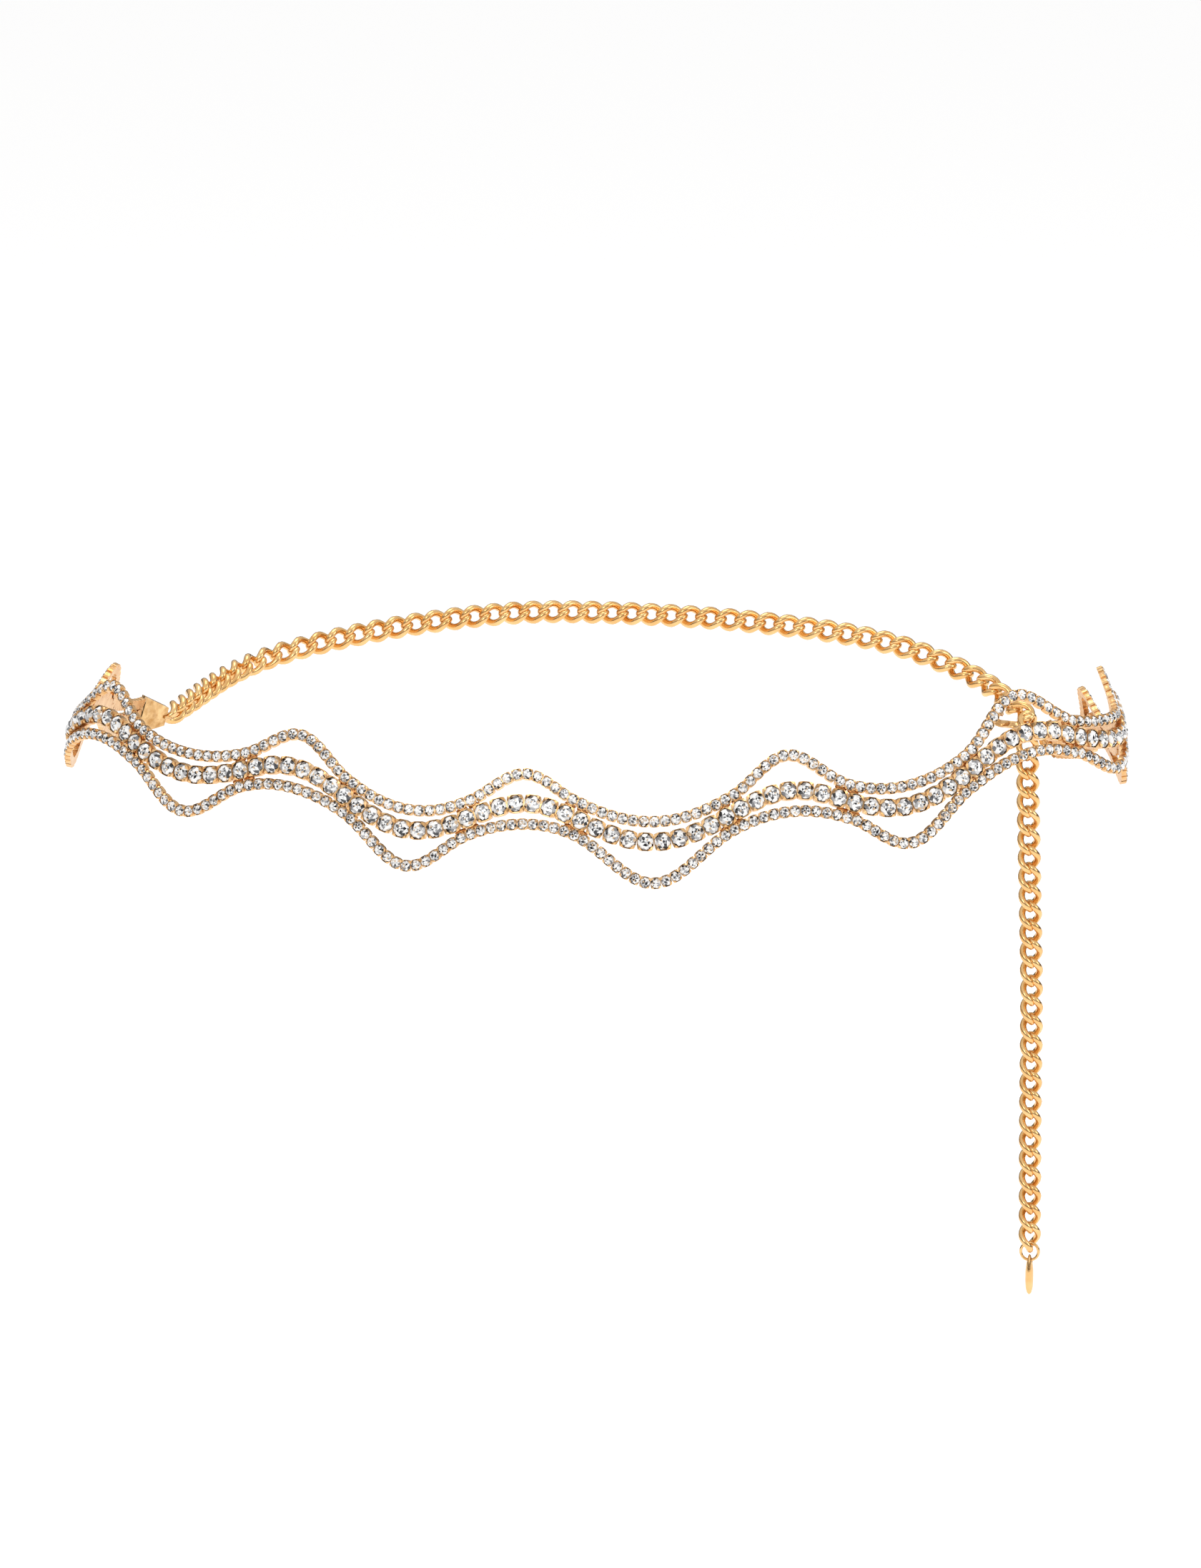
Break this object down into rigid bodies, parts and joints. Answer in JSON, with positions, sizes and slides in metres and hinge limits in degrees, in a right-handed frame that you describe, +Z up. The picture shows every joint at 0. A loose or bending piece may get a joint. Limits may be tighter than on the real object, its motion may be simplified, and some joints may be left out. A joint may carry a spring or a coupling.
{
  "type": "body chain",
  "caption": "Gold waist chain with three wavy strands of clear set stones across the front, a curb chain round the back, a hook clasp and a hanging tail with a small drop.",
  "frame": {"origin": "centre of the waist opening, level with the middle of the belt's front", "axes": "+Z up along the wearer's body, the strands' front towards -Y, +X towards the hook's side"},
  "size_m": [0.2895, 0.2416, 0.2144],
  "materials": {
    "set_stones": "clear cut stones in thin gold cups",
    "gold": "polished yellow gold plate",
    "pale_gold": "softly hammered gold plate"
  },
  "bodies": {
    "root": {"upper_strand": "set_stones", "middle_strand": "set_stones", "lower_strand": "set_stones", "left_end_plate": "pale_gold", "right_end_plate": "pale_gold", "back_chain": "gold", "tail_chain": "gold", "jump_ring": "gold", "drop": "gold"}
  },
  "joints": []
}
